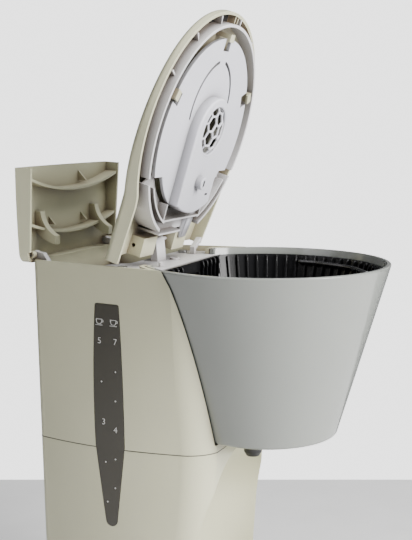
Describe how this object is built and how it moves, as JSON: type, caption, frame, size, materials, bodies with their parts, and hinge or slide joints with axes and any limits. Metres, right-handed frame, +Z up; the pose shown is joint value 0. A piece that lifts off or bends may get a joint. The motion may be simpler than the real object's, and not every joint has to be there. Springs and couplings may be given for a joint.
{
  "type": "drip coffee maker",
  "caption": "Compact drip coffee maker with a conical filter bucket, a hinged shower lid, a rear tank flap and a side level window.",
  "frame": {"origin": "centre of the footprint box on the surface that the feet stand on", "axes": "+Z up; -Y is the front, where the filter bucket and the jug space are; +X is to the right seen from the front"},
  "size_m": [0.1494, 0.2161, 0.4106],
  "materials": {
    "body": "ivory gloss moulding",
    "bucket": "cool light grey high gloss",
    "insert": "black gloss, ribbed",
    "inner_grey": "pale lavender grey semi-gloss",
    "white_plastic": "white semi-gloss moulding",
    "black_plastic": "black satin moulding",
    "window": "smoke grey gloss",
    "tank": "frosted moulding",
    "hotplate_coat": "dark non-stick coating",
    "aluminium": "as extruded",
    "steel": "plated",
    "brass": "plain",
    "silicone": "milky translucent silicone",
    "rubber": "matte",
    "bail": "black gloss rod"
  },
  "bodies": {
    "housing": {"upper_housing": "body", "lower_housing": "body", "base_shell": "body", "base_plate": "body", "rubber_feet": "rubber", "base_screws": "steel", "water_tank": "tank", "level_window": "window", "tank_strainer": "white_plastic", "heater_tube": "aluminium", "heater_element": "steel", "hotplate": "hotplate_coat", "hotplate_seal": "rubber", "heater_bracket": "steel", "bracket_stud": "steel", "thermostat": "steel", "thermal_fuses": "steel", "check_valve": "white_plastic", "valve_ball": "steel", "inlet_hose": "silicone", "valve_sleeve": "silicone", "riser_hose": "silicone", "switch_frame": "black_plastic", "switch_terminals": "brass", "cord_gland": "black_plastic", "lead_live": "black_plastic", "lead_neutral": "black_plastic", "lead_heater": "black_plastic", "filter_bucket": "bucket", "bucket_screws": "steel", "filter_insert": "insert", "outlet_seal": "silicone", "top_deck": "white_plastic", "deck_screws": "steel", "riser_spout": "white_plastic", "tank_collar": "white_plastic"},
    "rocker": {"switch_rocker": "black_plastic"},
    "bail": {"filter_bail": "bail"},
    "drip_stop": {"drip_stop": "black_plastic", "drip_spring": "steel"},
    "lid": {"lid_shell": "body", "lid_frame": "white_plastic", "shower_plate": "inner_grey", "water_channel": "inner_grey", "shower_grille": "inner_grey", "vent_nub": "inner_grey", "plate_clips": "body", "lid_brackets": "body"},
    "flap": {"tank_flap": "body", "flap_ribs": "body", "flap_arms": "body", "flap_pins": "steel"}
  },
  "joints": [
    {"name": "lid_hinge", "type": "hinge", "parent": "housing", "child": "lid", "pos_m": [0, 0.0387, 0.27157], "axis": [-1, 0, 0], "range_deg": [-73.06, 18]},
    {"name": "flap_hinge", "type": "hinge", "parent": "housing", "child": "flap", "pos_m": [0, 0.0987, 0.26475], "axis": [-1, 0, 0], "range_deg": [-87, 6]},
    {"name": "drip_stop_slide", "type": "slide", "parent": "housing", "child": "drip_stop", "axis": [0, 0, 1], "range_m": [0, 0.004], "stiffness_N_per_m": 120, "springref_m": -0.004, "deforming": ["drip_spring"]},
    {"name": "bail_hinge", "type": "hinge", "parent": "housing", "child": "bail", "pos_m": [0, -0.0345, 0.254], "axis": [-1, 0, 0], "range_deg": [0, 90]},
    {"name": "switch_rock", "type": "hinge", "parent": "housing", "child": "rocker", "pos_m": [0.0537, 0.0435, 0.018], "axis": [0, 0, 1], "range_deg": [0, 16]}
  ]
}
